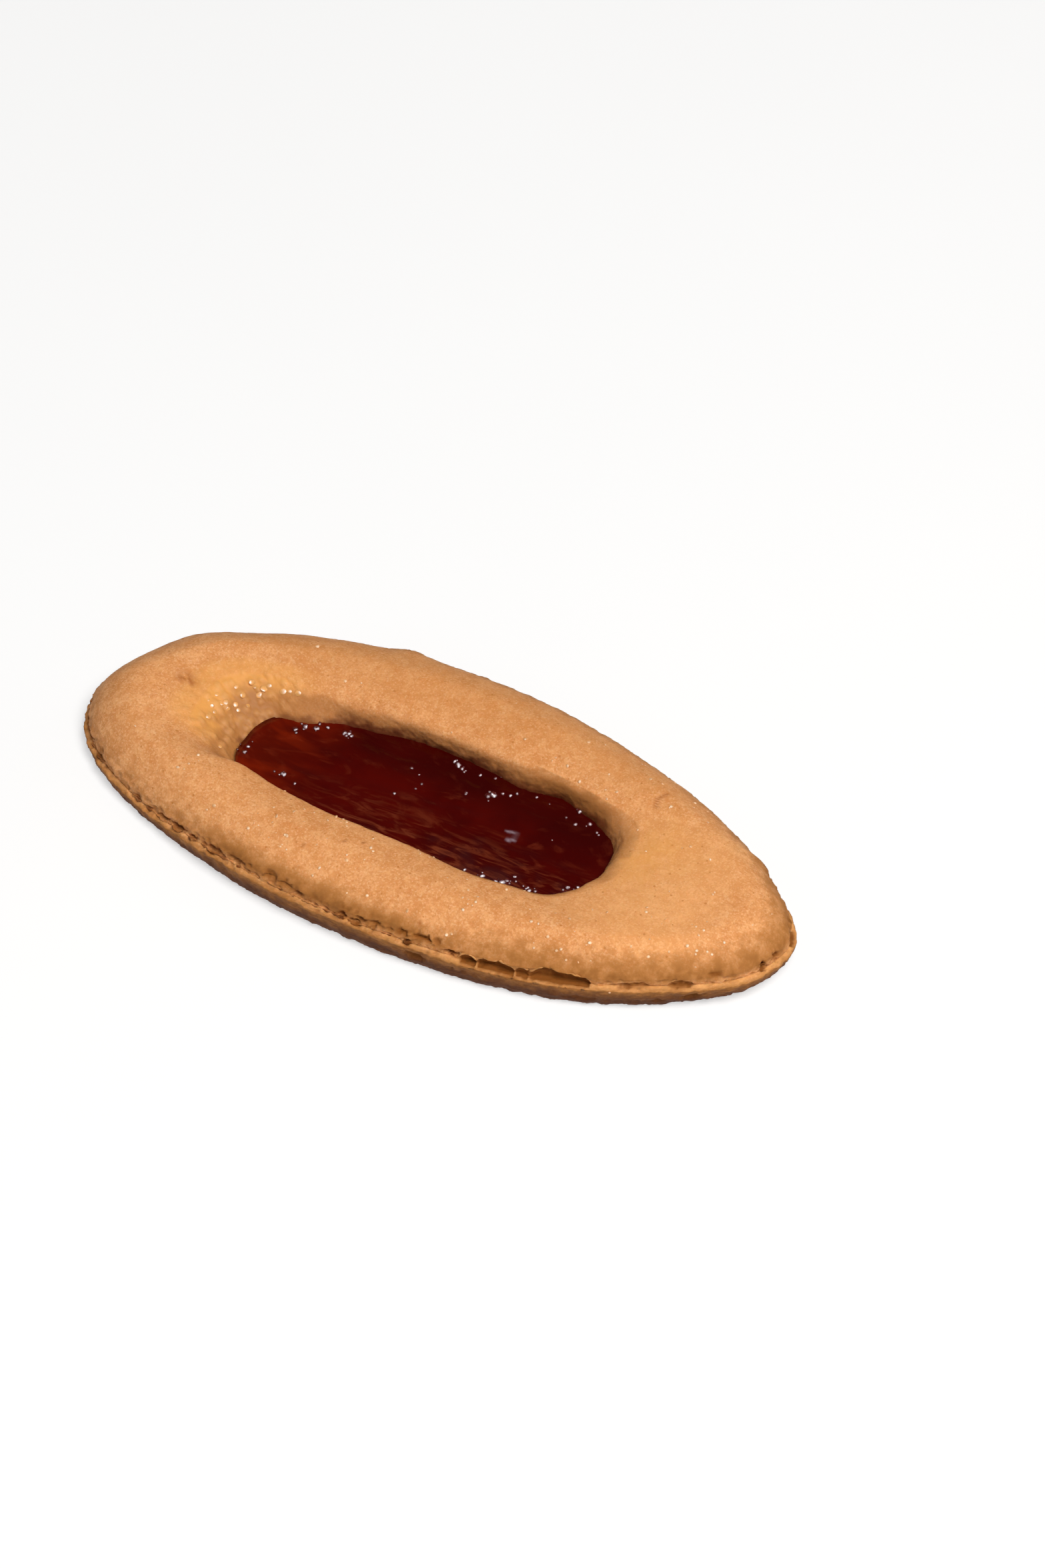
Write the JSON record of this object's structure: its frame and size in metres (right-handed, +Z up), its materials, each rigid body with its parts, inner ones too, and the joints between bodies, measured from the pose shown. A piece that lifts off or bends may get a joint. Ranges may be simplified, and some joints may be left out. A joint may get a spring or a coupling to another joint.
{
  "type": "jam-filled sponge biscuit",
  "caption": "Boat-shaped golden sponge biscuit, flat underneath, with a long rounded pocket of glossy dark red jam in its domed top.",
  "frame": {"origin": "under the middle of the biscuit's box, on the surface that it lies on", "axes": "+X along the biscuit towards its narrower tip, +Z up out of the jam"},
  "size_m": [0.0706, 0.0318, 0.0068],
  "materials": {
    "baked_crust": "fine open crumb with a thin golden crust, browner at the foot and underneath",
    "red_jam": "wet, glossy, dark red and slightly see-through"
  },
  "bodies": {
    "root": {"biscuit": "baked_crust", "jam": "red_jam"}
  },
  "joints": []
}
